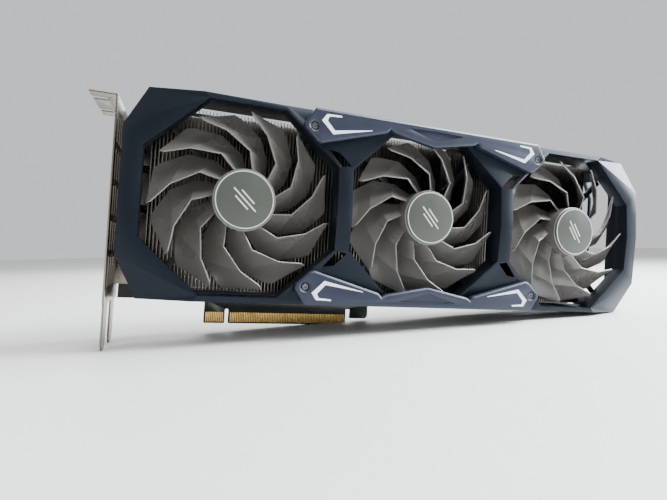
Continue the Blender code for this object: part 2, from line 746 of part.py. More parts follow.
def make_board():
    holes = [rounded(place, COOLER_SCREW_HOLE, 0, 345, 16) for place in cooler_screw_places()]
    board = outline_mesh("circuit_board", [board_outline(), *holes], FRONT, -BOARD_FRONT, BOARD_FRONT)
    add_object("circuit_board", board, BOARD_BLACK, card)
    near = BOARD_FRONT + GAP / 2
    far = near + CONTACT_THICKNESS
    tongues = (("short", TONGUE_START, TONGUE_START + SHORT_TONGUE), ("long", LONG_START, TONGUE_END))
    for length, start, stop in tongues:
        span = (start + CONTACT_EDGE, stop - CONTACT_EDGE)
        for side, depth in (("front", (near, far)), ("back", (-far, -near))):
            name = f"{side}_{length}_contacts"
            add_object(name, depth_box(name, span, CONTACT_RISE, depth), GOLD, card)


def make_components():
    x, z = CHIP
    package = (SEAT, SEAT + PACKAGE_THICKNESS)
    chip = square("gpu_package", CHIP, (PACKAGE_HALF, PACKAGE_HALF), package)
    add_object("gpu_package", chip, BOARD_BLACK, card)
    die = (package[1] + GAP, package[1] + GAP + DIE_THICKNESS)
    add_object("gpu_die", square("gpu_die", CHIP, (DIE_HALF, DIE_HALF), die), SILICON, card)
    places = [(x + side * MEMORY_OUT, z + step * MEMORY_STEP) for side in (-1, 1) for step in (-1, 0, 1)]
    half = (MEMORY_CHIP[0] / 2, MEMORY_CHIP[1] / 2)
    for number, place in enumerate(places):
        name = f"memory_chip_{number + 1}"
        add_object(name, square(name, place, half, package), BLACK_PLASTIC, card)
    make_choke_bank()


def make_choke_bank():
    """Seven square chokes on one strip."""
    x, z = CHOKE_START
    strip = CHOKE_SIZE / 4
    outline = [(x, z)]
    for number in range(7):
        low = z + number * CHOKE_STEP
        high = low + CHOKE_SIZE
        outline += [(x + CHOKE_SIZE, low), (x + CHOKE_SIZE, high)]
        outline += [(x + strip, high), (x + strip, low + CHOKE_STEP)]
    outline[-1] = (x, high)
    bank = outline_mesh("choke_bank", [outline], FRONT, SEAT, SEAT + CHOKE_THICKNESS)
    add_object("choke_bank", bank, BLACK_PLASTIC, card)


def make_power_sockets():
    half = (PIN_HALF, PIN_HALF)
    for number in range(2):
        name = f"power_socket_{number + 1}"
        start = SOCKET_START + number * SOCKET_PITCH
        body = depth_box(name, (start, start + SOCKET_WIDTH), SOCKET_RISE, (SEAT, SEAT + SOCKET_THICKNESS))
        cuts = []
        for column in range(4):
            x = start + SOCKET_WIDTH / 2 + (column - 1.5) * PIN_PITCH[0]
            for row in (-0.5, 0.5):
                depth = SEAT + SOCKET_THICKNESS / 2 + row * PIN_PITCH[1]
                hole = (x - half[0], x + half[0]), (PIN_FLOOR, SOCKET_RISE[1] + BEYOND)
                cuts.append(depth_box("pin_hole", *hole, (depth - half[1], depth + half[1])))
        add_object(name, combined_mesh(name, body, cuts=cuts), BLACK_PLASTIC, card)


def make_display_ports():
    """Metal shells through the bracket, each with a contact tongue in its mouth."""
    shell, tongue_edge = 0.8 * MM, 3.0 * MM
    start, floor = 0.2 * MM, 12.0 * MM
    for name, height, width in PORTS:
        half = width / 2

        def slab(kind, x, edge, depth):
            return depth_box(kind, x, (height - half + edge, height + half - edge), depth)

        body = slab(name, (start, PORT_LENGTH), 0, (SEAT, SEAT + PORT_THICKNESS))
        mouth = slab("mouth", (-BEYOND, floor), 0.9 * MM, (SEAT + shell, SEAT + PORT_THICKNESS - shell))
        tongue = slab("tongue", (BEYOND, floor + 0.5 * MM), tongue_edge, (SEAT + 2.2 * MM, SEAT + 3.2 * MM))
        mesh = combined_mesh(name, combined_mesh(name, body, cuts=[mouth]), unions=[tongue])
        add_object(name, mesh, NICKEL, card)


# ---------------------------------------------------------------- bracket and backplate


def foot_gap(start, stop):
    """The cut-away beside a foot, wider at the foot's tapered tip."""
    taper, rise = FOOT_TAPER
    low, tip = FOOT_TIP - BEYOND, FOOT_TIP + rise
    left = start if start < BRACKET_NEAR else start - taper
    right = stop if stop > BRACKET_BACK else stop + taper
    return [(start, PLATE_LOW), (start, tip), (left, FOOT_TIP), (left, low), (right, low), (right, FOOT_TIP),
            (stop, tip), (stop, PLATE_LOW)]


def rectangle(low, high):
    return [low, (high[0], low[1]), high, (low[0], high[1])]


def bracket_cuts():
    """Cutters for the gaps beside the feet, the ports, the air slots and the two screw notches."""
    second_foot = FIRST_FOOT + SLOT_PITCH
    holes = [
        foot_gap(BRACKET_NEAR - BEYOND, FIRST_FOOT),
        foot_gap(FIRST_FOOT + FOOT_WIDTH, second_foot),
        foot_gap(second_foot + FOOT_WIDTH, BRACKET_BACK + BEYOND),
    ]
    for _, height, width in PORTS:
        low, high = height - width / 2 - GAP, height + width / 2 + GAP
        holes.append(rectangle((-(SEAT + PORT_THICKNESS + GAP), low), (-(SEAT - GAP), high)))
    for column in range(3):
        y = BRACKET_NEAR + 4.54 * MM + column * AIR_SLOT_STEP[0]
        for row in range(5):
            low = 21 * MM + row * AIR_SLOT_STEP[1]
            holes.append(rectangle((y, low), (y + AIR_SLOT[0], low + AIR_SLOT[1])))
    cuts = [outline_mesh("plate_cut", [hole], SIDE, -BEYOND, BEYOND) for hole in holes]
    outside = -TAB_LENGTH - BEYOND
    for middle in (FIRST_NOTCH, FIRST_NOTCH - SLOT_PITCH):
        loop = [(outside, middle - NOTCH_RADIUS), *rounded((NOTCH_END, middle), NOTCH_RADIUS, -90, 90, 9)]
        loop.append((outside, middle + NOTCH_RADIUS))
        cuts.append(outline_mesh("notch", [loop], PLAN, TAB_TOP - BEYOND, TAB_TOP + BEYOND))
    return cuts


def make_bracket():
    wall = BRACKET_THICKNESS
    profile = [(-TAB_LENGTH, TAB_TOP), (wall, TAB_TOP), (wall, FOOT_TIP), (0, FOOT_TIP), (0, TAB_TOP - wall),
               (-TAB_LENGTH, TAB_TOP - wall)]
    sheet = outline_mesh("sheet", [profile], FRONT, -BRACKET_BACK, -BRACKET_NEAR)
    add_object("bracket", combined_mesh("bracket", sheet, cuts=bracket_cuts()), NICKEL, card)


def cooler_screw_places():
    x, z = CHIP
    out, up = COOLER_SCREW_OUT
    return [(x + a * out, z + b * up) for a, b in ((-1, -1), (1, -1), (1, 1), (-1, 1))]


def make_backplate():
    low, high, cut = BACKPLATE_LOW, BACKPLATE_HIGH, BACKPLATE_CORNER
    stop = MIDDLE + HALF_LENGTH
    outline = [
        (BACKPLATE_START, low),
        (stop - cut, low),
        (stop, low + cut),
        (stop, high - cut),
        (stop - cut, high),
        (BACKPLATE_START, high),
    ]
    # Air from the last fan leaves through the slots beyond the board's end.
    slots = []
    for number in range(6):
        x = PLATE_SLOT_START + number * PLATE_SLOT_PITCH
        slots.append(rectangle((x, low + PLATE_SLOT_EDGE), (x + PLATE_SLOT_WIDTH, high - PLATE_SLOT_EDGE)))
    holes = [rounded(place, COOLER_SCREW_HOLE, 0, 345, 16) for place in cooler_screw_places()]
    mesh = outline_mesh("backplate", [outline, *slots, *holes], FRONT, BACKPLATE_BACK, BACKPLATE_FRONT)
    add_object("backplate", mesh, PLATE_BLACK, card)
    for number, (x, z) in enumerate(cooler_screw_places()):
        name = f"cooler_screw_{number + 1}"
        screw = turned_screw(name, 2.9 * MM, 1.5 * MM, 1.3 * MM, 8.0 * MM)
        place = Matrix.Translation((x, -(BACKPLATE_BACK - GAP), z))
        screw.transform(place @ Matrix.Rotation(-math.pi / 2, 4, "X"))
        add_object(name, smooth(screw), STEEL, card)


clear_scene()
parts = new_collection("graphics_card")
cutters = new_collection("cutters")
card = bpy.data.objects.new("card", None)
parts.objects.link(card)
card.location = (-ORIGIN_FROM_BRACKET, 0, 0)

make_shroud()
make_trims()
make_fans()
make_cooler()
make_board()
make_components()
make_power_sockets()
make_display_ports()
make_bracket()
make_backplate()
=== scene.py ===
"""The finished look of a long graphics card with three fans, built over its frame.

The card stands on the tips of its bracket's feet and on the far end of its shroud. +X runs along
the card away from the bracket, the fans face -Y and +Z is up. "depth" is the distance in front of
the middle of the board.
"""

import math

import bmesh
import bpy
from mathutils import Matrix, Vector


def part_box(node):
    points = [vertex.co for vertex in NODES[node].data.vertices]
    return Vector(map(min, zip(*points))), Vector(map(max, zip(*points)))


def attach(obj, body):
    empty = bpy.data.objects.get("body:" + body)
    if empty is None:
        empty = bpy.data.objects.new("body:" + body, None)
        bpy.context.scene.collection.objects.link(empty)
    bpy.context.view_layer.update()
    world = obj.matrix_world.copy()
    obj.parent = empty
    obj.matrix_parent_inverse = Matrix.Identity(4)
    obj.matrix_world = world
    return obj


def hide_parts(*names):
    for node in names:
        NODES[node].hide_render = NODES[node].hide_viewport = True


bl_info = {
    "name": "Graphics Card",
    "version": (1, 0, 0),
    "blender": (4, 5, 0),
    "location": "3D View > Sidebar > Graphics Card",
    "description": "Builds the shroud, fans, cooler, board and bracket of a long graphics card",
    "category": "Object",
}

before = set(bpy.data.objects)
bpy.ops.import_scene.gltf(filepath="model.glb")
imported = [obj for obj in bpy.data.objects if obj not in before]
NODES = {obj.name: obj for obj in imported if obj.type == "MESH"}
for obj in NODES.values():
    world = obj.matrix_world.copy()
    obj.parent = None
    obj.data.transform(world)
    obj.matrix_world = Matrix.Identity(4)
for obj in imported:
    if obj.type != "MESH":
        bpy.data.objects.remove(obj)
MM = 0.001
FANS = ("left", "middle", "right")
FAN_TURNS = (44.5, 48.5, 57.5)
HUB_RADIUS = 15.1 * MM
HUB_DEPTH = (33.6 * MM, 47.45 * MM)
HUB_WALL = 1.3 * MM
HUB_HOLLOW = 11.2 * MM
CAP_RING = (13.7 * MM, 0.24 * MM)
MARK_BARS = (4.4, 7.6, 4.4)
MARK_PITCH = 2.1
MARK_HALF_WIDTH = 0.38
PIPES = range(1, 7)
MEMORY_CHIPS = range(1, 7)
PORTS = ("lower_display_port", "middle_display_port", "upper_display_port", "hdmi_port")
BOARD_FROM_BRACKET = 1.9 * MM
HEEL_FROM_CENTRE = 146.8 * MM


def middle_of(name):
    low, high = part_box(name)
    return (Vector(low) + Vector(high)) / 2


HUBS = [middle_of(f"{fan}_fan_cap") for fan in FANS]
CENTRE_X = HUBS[1].x
CENTRE_Z = HUBS[1].z


# ---------------------------------------------------------------- settings


class CARD_PG_shroud(bpy.types.PropertyGroup):
    edge: bpy.props.FloatProperty(
        name="Edge", description="Width of the bevel along the folds", default=0.9 * MM, unit="LENGTH"
    )
    colour: bpy.props.FloatVectorProperty(
        name="Colour",
        description="Moulded plastic of the shroud",
        default=(0.0034, 0.0050, 0.0078),
        size=3,
        subtype="COLOR",
    )
    # The trim plates' own moulded plastic, made lighter and bluer than the shroud as painted sheen: most
    # of that difference stands for the light falling on the plates.
    trim_colour_and_painted_sheen: bpy.props.FloatVectorProperty(
        name="Trim colour",
        description="Moulded plastic of the trim plates",
        default=(0.016, 0.018, 0.032),
        size=3,
        subtype="COLOR",
    )
    accent_colour: bpy.props.FloatVectorProperty(
        name="Accent colour",
        description="Paint of the accent lines",
        default=(0.80, 0.82, 0.88),
        size=3,
        subtype="COLOR",
    )


class CARD_PG_fans(bpy.types.PropertyGroup):
    blades: bpy.props.IntProperty(name="Blades", description="Blades on each rotor", default=11, min=3)
    tip: bpy.props.FloatProperty(
        name="Tip radius", description="Radius of the blades' tips", default=44.8 * MM, unit="LENGTH"
    )
    thickness: bpy.props.FloatProperty(
        name="Thickness", description="Thickness of a blade", default=0.75 * MM, unit="LENGTH"
    )
    colour: bpy.props.FloatVectorProperty(
        name="Blade colour",
        description="Smoky moulded plastic of the rotors",
        default=(0.112, 0.103, 0.094),
        size=3,
        subtype="COLOR",
    )
    cap_colour: bpy.props.FloatVectorProperty(
        name="Cap colour",
        description="Film on the hubs",
        default=(0.046, 0.050, 0.041),
        size=3,
        subtype="COLOR",
    )


class CARD_PG_cooler(bpy.types.PropertyGroup):
    pitch: bpy.props.FloatProperty(
        name="Fin pitch", description="Distance from fin to fin", default=1.75 * MM, unit="LENGTH"
    )
    sheet: bpy.props.FloatProperty(
        name="Fin thickness", description="Thickness of a fin", default=0.35 * MM, unit="LENGTH"
    )


class CARD_PG_board(bpy.types.PropertyGroup):
    pad_pitch: bpy.props.FloatProperty(
        name="Pad pitch", description="Distance from contact to contact", default=1.0 * MM, unit="LENGTH"
    )
    pad_width: bpy.props.FloatProperty(
        name="Pad width", description="Width of one contact", default=0.7 * MM, unit="LENGTH"
    )


class CARD_PG_stage(bpy.types.PropertyGroup):
    floor_colour: bpy.props.FloatVectorProperty(
        name="Floor",
        description="Colour of the floor",
        default=(0.74, 0.73, 0.71),
        size=3,
        subtype="COLOR",
    )
    light: bpy.props.FloatProperty(
        name="Light", description="Power that every light is a share of", default=15.0, unit="POWER"
    )


# ---------------------------------------------------------------- modelling helpers


def select_only(*objects):
    for obj in bpy.context.selected_objects:
        obj.select_set(False)
    for obj in objects:
        obj.select_set(True)
    bpy.context.view_layer.objects.active = objects[0]


def start_piece():
    """Leaves nothing selected, so that the next primitive stands alone."""
    for obj in bpy.context.selected_objects:
        obj.select_set(False)


def edit_all(obj):
    """Opens the object for editing with all of it selected."""
    select_only(obj)
    bpy.ops.object.mode_set(mode="EDIT")
    bpy.ops.mesh.select_all(action="SELECT")


def leave_edit():
    bpy.ops.object.mode_set(mode="OBJECT")


def added(name):
    """Names the piece that was made last."""
    obj = bpy.context.active_object
    obj.name = name
    obj.data.name = name
    return obj


def place_in_mesh(obj):
    """Moves the object's place into its mesh, so that the object sits at the origin."""
    select_only(obj)
    bpy.ops.object.transform_apply(location=True, rotation=True, scale=True)
    return obj


def box(name, low, high):
    start_piece()
    low, high = Vector(low), Vector(high)
    bpy.ops.mesh.primitive_cube_add(size=1, location=(low + high) / 2)
    obj = added(name)
    obj.scale = high - low
    return place_in_mesh(obj)


def disc(name, centre, radius, front, back, sides=48):
    """A cylinder along Y between two values of Y, given its centre in X and Z."""
    start_piece()
    bpy.ops.mesh.primitive_cylinder_add(
        vertices=sides,
        radius=radius,
        depth=back - front,
        location=(centre[0], (front + back) / 2, centre[1]),
        rotation=(math.pi / 2, 0, 0),
    )
    return place_in_mesh(added(name))


def flat_shape(name, places, front, back):
    """A flat plate from its outline in X and Z, between two values of Y: a single face, extruded."""
    start_piece()
    bpy.ops.mesh.primitive_plane_add(size=0.01)
    obj = added(name)
    bm = bmesh.new()
    bm.faces.new([bm.verts.new((x, front, z)) for x, z in places])
    bm.to_mesh(obj.data)
    bm.free()
    place_in_mesh(obj)
    edit_all(obj)
    bpy.ops.mesh.extrude_region_move(TRANSFORM_OT_translate={"value": (0, back - front, 0)})
    bpy.ops.mesh.select_all(action="SELECT")
    bpy.ops.mesh.normals_make_consistent(inside=False)
    leave_edit()
    return obj


def about_centre(places, side=1, up=1):
    """The places, given in millimetres about the shroud's middle, mirrored by side and up."""
    return [(CENTRE_X + side * x * MM, CENTRE_Z + up * z * MM) for x, z in places]


def edit_faces(obj, wanted):
    """Opens the object for editing, selecting the faces for which wanted(centre, normal) is true."""
    select_only(obj)
    bpy.ops.object.mode_set(mode="EDIT")
    bpy.ops.mesh.select_mode(type="FACE")
    bpy.ops.mesh.select_all(action="DESELECT")
    bm = bmesh.from_edit_mesh(obj.data)
    chosen = [face for face in bm.faces if wanted(face.calc_center_median(), face.normal)]
    for face in chosen:
        face.select_set(True)
    bmesh.update_edit_mesh(obj.data)
    if not chosen:
        raise RuntimeError(f"{obj.name}: no face was found to edit")


def apply_modifiers(obj):
    select_only(obj)
    for modifier in list(obj.modifiers):
        bpy.ops.object.modifier_apply(modifier=modifier.name)
    return obj


def bevel(obj, width, segments=2, angle=25, crisp=False):
    modifier = obj.modifiers.new("Bevel", "BEVEL")
    modifier.width = width
    modifier.segments = segments
    modifier.limit_method = "ANGLE"
    modifier.angle_limit = math.radians(angle)
    modifier.harden_normals = crisp
    return apply_modifiers(obj)


def crisp_bevel(obj, width, segments=2, angle=12):
    """Rounds the edges and keeps every facet flat."""
    select_only(obj)
    bpy.ops.object.shade_smooth()
    return bevel(obj, width, segments, angle, crisp=True)


def repeated(obj, count, pitch):
    """A row of count copies along X."""
    row = obj.modifiers.new("Array", "ARRAY")
    row.count = count
    row.use_relative_offset = False
    row.use_constant_offset = True
    row.constant_offset_displace = (pitch, 0, 0)
    return apply_modifiers(obj)


def smooth(obj, angle=32):
    select_only(obj)
    bpy.ops.object.shade_smooth_by_angle(angle=math.radians(angle))
    return obj


def joined(name, objects):
    select_only(*objects)
    bpy.ops.object.join()
    return added(name)


def cut(obj, cutter):
    modifier = obj.modifiers.new("Cut", "BOOLEAN")
    modifier.operation = "DIFFERENCE"
    modifier.object = cutter
    apply_modifiers(obj)
    bpy.data.objects.remove(cutter)
    return obj


def copy_of_node(name, new_name):
    """A merged copy of a frame node, with its flat faces whole again."""
    source = NODES[name]
    obj = bpy.data.objects.new(new_name, source.data.copy())
    bpy.context.scene.collection.objects.link(obj)
    obj.data.materials.clear()
    edit_all(obj)
    bpy.ops.mesh.remove_doubles(threshold=0.01 * MM)
    bpy.ops.mesh.dissolve_limited(angle_limit=math.radians(0.5))
    leave_edit()
    return obj


def finish_piece(obj, material, slot, body, *nodes):
    """Gives the piece its finish and lets it stand for its frame nodes."""
    obj.data.materials.clear()
    obj.data.materials.append(material)
    if nodes:
        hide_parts(*nodes)
    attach(obj, body)
    return obj


def bevelled_node(name, material, slot, body, width, segments=2, angle=25):
    obj = crisp_bevel(copy_of_node(name, f"{name}_finished"), width, segments, angle)
    return finish_piece(obj, material, slot, body, name)


# ---------------------------------------------------------------- materials


class Finish:
    """A material made from nodes on Object coordinates."""

    def __init__(self, name, colour, roughness, metallic=0.0):
        self.material = bpy.data.materials.new(name)
        self.material.use_nodes = True
        self.tree = self.material.node_tree
        self.shader = self.tree.nodes["Principled BSDF"]
        self.set("Base Color", (*colour, 1))
        self.set("Roughness", roughness)
        self.set("Metallic", metallic)
        self.colour = colour
        self.coordinates = self.tree.nodes.new("ShaderNodeTexCoord")

    def set(self, socket, value):
        self.shader.inputs[socket].default_value = value

    def node(self, kind, **values):
        made = self.tree.nodes.new(kind)
        for key, value in values.items():
            setattr(made, key, value)
        return made

    def link(self, start, end):
        self.tree.links.new(start, end)

    def noise(self, scale, detail=4.0, stretch=(1, 1, 1)):
        mapping = self.node("ShaderNodeMapping")
        mapping.inputs["Scale"].default_value = stretch
        self.link(self.coordinates.outputs["Object"], mapping.inputs["Vector"])
        noise = self.node("ShaderNodeTexNoise")
        noise.inputs["Scale"].default_value = scale
        noise.inputs["Detail"].default_value = detail
        self.link(mapping.outputs["Vector"], noise.inputs["Vector"])
        return noise.outputs["Fac"]

    def ranged(self, source, low, high):
        ranged = self.node("ShaderNodeMapRange")
        ranged.inputs["From Min"].default_value = 0.3
        ranged.inputs["From Max"].default_value = 0.7
        ranged.inputs["To Min"].default_value = low
        ranged.inputs["To Max"].default_value = high
        self.link(source, ranged.inputs["Value"])
        return ranged.outputs["Result"]

    def vary_roughness(self, low, high, scale, stretch=(1, 1, 1)):
        source = self.ranged(self.noise(scale, 5.0, stretch), low, high)
        self.link(source, self.shader.inputs["Roughness"])
        return self

    def vary_colour(self, other, scale, stretch=(1, 1, 1)):
        mix = self.node("ShaderNodeMix", data_type="RGBA")
        mix.inputs["A"].default_value = (*self.colour, 1)
        mix.inputs["B"].default_value = (*other, 1)
        self.link(self.ranged(self.noise(scale, 3.0, stretch), 0, 1), mix.inputs["Factor"])
        self.link(mix.outputs["Result"], self.shader.inputs["Base Color"])
        return self

    def grain(self, scale, strength, distance=0.05 * MM, stretch=(1, 1, 1)):
        bump = self.node("ShaderNodeBump")
        bump.inputs["Strength"].default_value = strength
        bump.inputs["Distance"].default_value = distance
        self.link(self.noise(scale, 6.0, stretch), bump.inputs["Height"])
        self.link(bump.outputs["Normal"], self.shader.inputs["Normal"])
        return self


def shroud_plastic(settings):
    finish = Finish("shroud plastic", settings.colour, 0.36)
    finish.vary_roughness(0.31, 0.42, 60).grain(5200, 0.3)
    finish.set("Specular IOR Level", 0.22)
    finish.set("Specular Tint", (0.70, 0.80, 1, 1))
    return finish.material


def trim_plastic(settings):
    # Base colour of the trims: their own plastic, lighter and bluer than the shroud's as painted sheen.
    finish = Finish("trim plastic with painted sheen", settings.trim_colour_and_painted_sheen, 0.38)
    finish.vary_roughness(0.33, 0.43, 70).grain(5200, 0.3)
    finish.set("Specular IOR Level", 0.4)
    finish.set("Specular Tint", (0.8, 0.88, 1, 1))
    return finish.material


def accent_paint(settings):
    finish = Finish("accent paint", settings.accent_colour, 0.35)
    finish.vary_roughness(0.30, 0.42, 220).grain(2600, 0.08)
    return finish.material


def blade_plastic(settings):
    finish = Finish("blade plastic", settings.colour, 0.30)
    darker = tuple(channel * 0.82 for channel in settings.colour)
    finish.vary_roughness(0.25, 0.35, 45).vary_colour(darker, 30).grain(3800, 0.06)
    finish.set("Specular IOR Level", 0.7)
    finish.set("Coat Weight", 0.5)
    finish.set("Coat Roughness", 0.18)
    return finish.material


def cap_film(settings):
    finish = Finish("cap film", settings.cap_colour, 0.36)
    finish.vary_roughness(0.32, 0.42, 120).grain(3000, 0.10)
    return finish.material


def cap_line():
    finish = Finish("cap line", (0.62, 0.64, 0.62), 0.32, 0.4)
    finish.vary_roughness(0.28, 0.38, 200)
    return finish.material


def fin_aluminium():
    finish = Finish("fin aluminium", (0.26, 0.24, 0.21), 0.36, 1.0)
    finish.vary_roughness(0.26, 0.46, 160, (1, 1, 6)).grain(900, 0.15, stretch=(1, 1, 8))
    return finish.material


def nickel_plate():
    finish = Finish("nickel plate", (0.22, 0.195, 0.165), 0.34, 1.0)
    finish.vary_roughness(0.24, 0.38, 140, (1, 8, 1)).vary_colour((0.17, 0.15, 0.125), 35)
    finish.grain(1400, 0.10, stretch=(1, 10, 1))
    return finish.material


def contact_gold():
    finish = Finish("contact gold", (0.66, 0.43, 0.14), 0.28, 1.0)
    finish.vary_roughness(0.20, 0.34, 260).vary_colour((0.56, 0.36, 0.11), 90)
    return finish.material


def solder_mask():
    finish = Finish("solder mask", (0.006, 0.008, 0.008), 0.32)
    finish.vary_roughness(0.26, 0.40, 180).vary_colour((0.012, 0.015, 0.014), 420).grain(1100, 0.12)
    finish.set("Coat Weight", 0.3)
    return finish.material


def plated_copper():
    finish = Finish("plated copper", (0.62, 0.40, 0.30), 0.30, 1.0)
    finish.vary_roughness(0.24, 0.40, 150).vary_colour((0.50, 0.30, 0.22), 60)
    return finish.material


def motor_winding():
    finish = Finish("enamelled wire", (0.46, 0.20, 0.09), 0.34, 0.8)
    finish.vary_roughness(0.28, 0.42, 300, (1, 20, 1)).grain(1800, 0.5, stretch=(1, 12, 1))
    return finish.material


def black_plastic():
    finish = Finish("moulded black", (0.011, 0.011, 0.012), 0.48)
    finish.vary_roughness(0.42, 0.55, 90).grain(4200, 0.25)
    return finish.material


def chip_silicon():
    finish = Finish("polished silicon", (0.045, 0.047, 0.055), 0.12)
    finish.vary_roughness(0.08, 0.18, 60)
    finish.set("Coat Weight", 0.5)
    return finish.material


def plate_paint():
    finish = Finish("plate paint", (0.013, 0.014, 0.016), 0.44, 0.3)
    finish.vary_roughness(0.38, 0.50, 80).grain(3600, 0.3)
    return finish.material


def dark_steel():
    finish = Finish("dark steel", (0.12, 0.12, 0.125), 0.30, 1.0)
    finish.vary_roughness(0.26, 0.40, 300).grain(2400, 0.1)
    return finish.material


# ---------------------------------------------------------------- shroud and trims


class CARD_OT_shroud(bpy.types.Operator):
    """Faceted fan shroud with bevelled folds and pockets in its webs"""

    bl_idname = "card.shroud"
    bl_label = "Shroud"

    def execute(self, context):
        settings = context.scene.card_shroud
        material = shroud_plastic(settings)
        obj = copy_of_node("shroud", "shroud_finished")
        for side in (-1, 1):
            for up in (-1, 1):
                cut(obj, web_pocket(side, up))
        crisp_bevel(obj, settings.edge, 2, 9)
        finish_piece(obj, material, "shroud_plastic", "card", "shroud")
        return {"FINISHED"}


def web_pocket(side, up):
    """A slanting slot through the web beside the middle fan."""
    places = [(59.5, 30.0), (53.5, 29.2), (46.9, 22.6), (52.2, 21.6)]
    return flat_shape("pocket", about_centre(places, side, up), -52 * MM, -44.4 * MM)


def chevron(side, up, front, back, name):
    """One bent accent line: a tapering tail by the fan opening, a short one by the plate's edge."""
    inner = [(37.9, 41.6), (38.1, 41.9), (58.3, 38.9), (62.4, 43.4), (61.6, 45.5), (54.9, 46.1)]
    outer = [(55.2, 46.9), (62.9, 46.6), (65.3, 43.1), (58.9, 36.9)]
    return flat_shape(name, about_centre(inner + outer, side, up), front, back)


class CARD_OT_trims(bpy.types.Operator):
    """Upper and lower trim plates with their accent lines"""

    bl_idname = "card.trims"
    bl_label = "Trim plates"

    def execute(self, context):
        settings = context.scene.card_shroud
        plastic, paint = trim_plastic(settings), accent_paint(settings)
        for name, up in (("upper", 1), ("lower", -1)):
            node = f"{name}_trim"
            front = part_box(node)[0][1]
            plate = copy_of_node(node, f"{node}_finished")
            level = front + 0.1 * MM
            edit_faces(plate, lambda centre, normal: normal.y < -0.9 and centre.y < level)
            bpy.ops.mesh.inset(thickness=1.0 * MM, depth=0, use_even_offset=True)
            leave_edit()
            chamfer_rim(plate, front, 0.75 * MM)
            cut(plate, centre_recess(up, front))
            crisp_bevel(plate, 0.25 * MM, 2, 12)
            finish_piece(plate, plastic, "trim_plastic", "card", node)
            lines = [
                chevron(side, up, front, front + 0.4 * MM, f"{node}_accent_{index}")
                for index, side in enumerate((-1, 1))
            ]
            accent = joined(f"{node}_accents", lines)
            finish_piece(accent, paint, "white_paint", "card")
        return {"FINISHED"}


def centre_recess(up, front):
    """A shallow triangle sunk in the middle of a trim plate."""
    places = [(-17.0, 46.2), (0.0, 46.9), (17.0, 46.2), (0.0, 41.2)]
    return flat_shape("recess", about_centre(places, up=up), front - MM, front + 1.1 * MM)


def chamfer_rim(plate, front, drop):
    """Sinks the outer corners of the front face, which leaves a wide chamfer round it."""
    bm = bmesh.new()
    bm.from_mesh(plate.data)
    bm.normal_update()
    facing = [vertex for vertex in bm.verts if vertex.co.y < front + 0.01 * MM]
    for vertex in facing:
        on_rim = any(abs(face.normal.y) < 0.5 for face in vertex.link_faces)
        vertex.co.y += drop if on_rim else 0.12 * MM
    bm.to_mesh(plate.data)
    bm.free()


class CARD_OT_screws(bpy.types.Operator):
    """Trim screws and spring screws with hexagonal sockets"""

    bl_idname = "card.screws"
    bl_label = "Screws"

    def execute(self, context):
        steel = dark_steel()
        for name in NODES:
            if not name.endswith("_screw") and not name.startswith("cooler_screw"):
                continue
            facing = 1 if name.startswith("cooler") else -1
            obj = copy_of_node(name, f"{name}_finished")
            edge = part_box(name)[1 if facing > 0 else 0][1]
            edit_faces(
                obj,
                lambda centre, normal: normal.y * facing > 0.9 and abs(centre.y - edge) < 0.05 * MM,
            )
            bpy.ops.mesh.inset(thickness=0.65 * MM, depth=0)
            bpy.ops.mesh.extrude_region_move(
                TRANSFORM_OT_translate={"value": (0, -facing * 0.7 * MM, 0)}
            )
            leave_edit()
            smooth(bevel(obj, 0.08 * MM, 2, 40), 35)
            finish_piece(obj, steel, "screw_steel", "card", name)
        return {"FINISHED"}


# ---------------------------------------------------------------- fans


# A blade's folds, from hub to tip: radius, angles of its trailing and leading edge, and depths
# of those edges.
BLADE_FOLDS = (
    (14.6, -28.5, -0.5, 35.6, 42.6),
    (24.4, -16.0, 9.5, 33.2, 44.9),
    (34.5, -0.5, 30.0, 33.0, 44.5),
    (44.6, 19.0, 46.0, 33.2, 43.7),
)


def blade_edge(place, angle_column, depth_column):
    """A point of the blade's edge, place folds out from the hub."""
    inner = min(int(place), len(BLADE_FOLDS) - 2)
    ends = []
    for fold in BLADE_FOLDS[inner : inner + 2]:
        angle = math.radians(fold[angle_column])
        across, up = fold[0] * math.cos(angle), fold[0] * math.sin(angle)
        ends.append(Vector((across, -fold[depth_column], up)))
    return ends[0].lerp(ends[1], place - inner)


def blade(tip, thickness):
    """One swept and folded blade about the Y axis: a grid bent to shape and thickened."""
    start_piece()
    columns, rows = 12, 15
    bpy.ops.mesh.primitive_grid_add(x_subdivisions=columns, y_subdivisions=rows, size=1)
    obj = added("blade")
    stretch = tip / MM / BLADE_FOLDS[-1][0]
    for vertex in obj.data.vertices:
        share, out = vertex.co.x + 0.5, vertex.co.y + 0.5
        # The tip's corners are rounded off.
        corner = max(0.0, out - 0.92) / 0.08
        share = 0.07 * corner**2 + (1 - 0.14 * corner**2) * share
        place = out * (len(BLADE_FOLDS) - 1)
        trail, lead = blade_edge(place, 1, 3), blade_edge(place, 2, 4)
        point = trail.lerp(lead, share)
        # The blade is hollow in front, most in the middle of its width.
        point.y += 1.3 * 4 * share * (1 - share) * min(1.0, out * 4)
        vertex.co = Vector((point.x * stretch, point.y, point.z * stretch)) * MM
    obj.data.update()
    edit_all(obj)
    bpy.ops.mesh.normals_make_consistent(inside=False)
    leave_edit()
    solid = obj.modifiers.new("Solidify", "SOLIDIFY")
    solid.thickness = thickness
    solid.offset = 0
    rounding = obj.modifiers.new("Bevel", "BEVEL")
    rounding.width = thickness * 0.34
    rounding.segments = 3
    rounding.angle_limit = math.radians(50)
    return apply_modifiers(obj)


